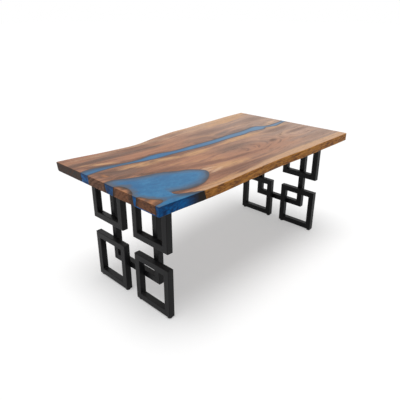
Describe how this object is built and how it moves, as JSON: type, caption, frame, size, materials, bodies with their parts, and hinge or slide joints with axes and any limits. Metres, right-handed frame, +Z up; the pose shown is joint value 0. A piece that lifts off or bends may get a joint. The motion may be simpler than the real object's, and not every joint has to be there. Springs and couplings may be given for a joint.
{
  "type": "river table",
  "caption": "Dining table with live-edge wood slabs and wood islands set in blue cast resin, on black welded tube legs of stacked squares with levelling glides.",
  "frame": {"origin": "on the floor under the middle of the table's outer box", "axes": "+X along the length from the left end, where the resin pool is, +Y from the straighter front edge to the live edge, +Z up"},
  "size_m": [1.694, 0.939, 0.75],
  "materials": {
    "wood": "satin oil",
    "blue_resin": "satin polish",
    "black_powder_coat": "satin powder coat",
    "black_foot": "matt",
    "zinc_steel": "zinc plated",
    "brass_insert": "plain"
  },
  "bodies": {
    "table": {"back_live_edge_slab": "wood", "corner_wood_island": "wood", "front_slab": "wood", "glide_weld_nuts": "zinc_steel", "left_leg_centre_back_post": "black_powder_coat", "left_leg_centre_front_post": "black_powder_coat", "left_leg_centre_rail": "black_powder_coat", "left_leg_lower_back_square_back_post": "black_powder_coat", "left_leg_lower_back_square_bottom_rail": "black_powder_coat", "left_leg_lower_back_square_front_post": "black_powder_coat", "left_leg_lower_back_square_top_rail": "black_powder_coat", "left_leg_lower_front_square_back_post": "black_powder_coat", "left_leg_lower_front_square_bottom_rail": "black_powder_coat", "left_leg_lower_front_square_front_post": "black_powder_coat", "left_leg_lower_front_square_top_rail": "black_powder_coat", "left_leg_mounting_plate": "black_powder_coat", "left_leg_upper_back_square_back_post": "black_powder_coat", "left_leg_upper_back_square_bottom_rail": "black_powder_coat", "left_leg_upper_back_square_front_post": "black_powder_coat", "left_leg_upper_back_square_top_rail": "black_powder_coat", "left_leg_upper_front_square_back_post": "black_powder_coat", "left_leg_upper_front_square_bottom_rail": "black_powder_coat", "left_leg_upper_front_square_front_post": "black_powder_coat", "left_leg_upper_front_square_top_rail": "black_powder_coat", "leg_bolt_washers": "zinc_steel", "leg_bolts": "zinc_steel", "pool_resin": "blue_resin", "pool_wood_island": "wood", "right_leg_centre_back_post": "black_powder_coat", "right_leg_centre_front_post": "black_powder_coat", "right_leg_centre_rail": "black_powder_coat", "right_leg_lower_back_square_back_post": "black_powder_coat", "right_leg_lower_back_square_bottom_rail": "black_powder_coat", "right_leg_lower_back_square_front_post": "black_powder_coat", "right_leg_lower_back_square_top_rail": "black_powder_coat", "right_leg_lower_front_square_back_post": "black_powder_coat", "right_leg_lower_front_square_bottom_rail": "black_powder_coat", "right_leg_lower_front_square_front_post": "black_powder_coat", "right_leg_lower_front_square_top_rail": "black_powder_coat", "right_leg_mounting_plate": "black_powder_coat", "right_leg_upper_back_square_back_post": "black_powder_coat", "right_leg_upper_back_square_bottom_rail": "black_powder_coat", "right_leg_upper_back_square_front_post": "black_powder_coat", "right_leg_upper_back_square_top_rail": "black_powder_coat", "right_leg_upper_front_square_back_post": "black_powder_coat", "right_leg_upper_front_square_bottom_rail": "black_powder_coat", "right_leg_upper_front_square_front_post": "black_powder_coat", "right_leg_upper_front_square_top_rail": "black_powder_coat", "river_resin": "blue_resin", "threaded_inserts": "brass_insert"},
    "left_leg_back_inner_glide": {"left_leg_back_inner_glide": "black_foot"},
    "left_leg_back_outer_glide": {"left_leg_back_outer_glide": "black_foot"},
    "left_leg_front_inner_glide": {"left_leg_front_inner_glide": "black_foot"},
    "left_leg_front_outer_glide": {"left_leg_front_outer_glide": "black_foot"},
    "right_leg_back_inner_glide": {"right_leg_back_inner_glide": "black_foot"},
    "right_leg_back_outer_glide": {"right_leg_back_outer_glide": "black_foot"},
    "right_leg_front_inner_glide": {"right_leg_front_inner_glide": "black_foot"},
    "right_leg_front_outer_glide": {"right_leg_front_outer_glide": "black_foot"}
  },
  "joints": [
    {"name": "left_leg_back_inner_glide_screw", "type": "slide", "parent": "table", "child": "left_leg_back_inner_glide", "axis": [0, 0, 1], "range_m": [-0.012, 0]},
    {"name": "left_leg_back_outer_glide_screw", "type": "slide", "parent": "table", "child": "left_leg_back_outer_glide", "axis": [0, 0, 1], "range_m": [-0.012, 0]},
    {"name": "left_leg_front_inner_glide_screw", "type": "slide", "parent": "table", "child": "left_leg_front_inner_glide", "axis": [0, 0, 1], "range_m": [-0.012, 0]},
    {"name": "left_leg_front_outer_glide_screw", "type": "slide", "parent": "table", "child": "left_leg_front_outer_glide", "axis": [0, 0, 1], "range_m": [-0.012, 0]},
    {"name": "right_leg_back_inner_glide_screw", "type": "slide", "parent": "table", "child": "right_leg_back_inner_glide", "axis": [0, 0, 1], "range_m": [-0.012, 0]},
    {"name": "right_leg_back_outer_glide_screw", "type": "slide", "parent": "table", "child": "right_leg_back_outer_glide", "axis": [0, 0, 1], "range_m": [-0.012, 0]},
    {"name": "right_leg_front_inner_glide_screw", "type": "slide", "parent": "table", "child": "right_leg_front_inner_glide", "axis": [0, 0, 1], "range_m": [-0.012, 0]},
    {"name": "right_leg_front_outer_glide_screw", "type": "slide", "parent": "table", "child": "right_leg_front_outer_glide", "axis": [0, 0, 1], "range_m": [-0.012, 0]}
  ]
}
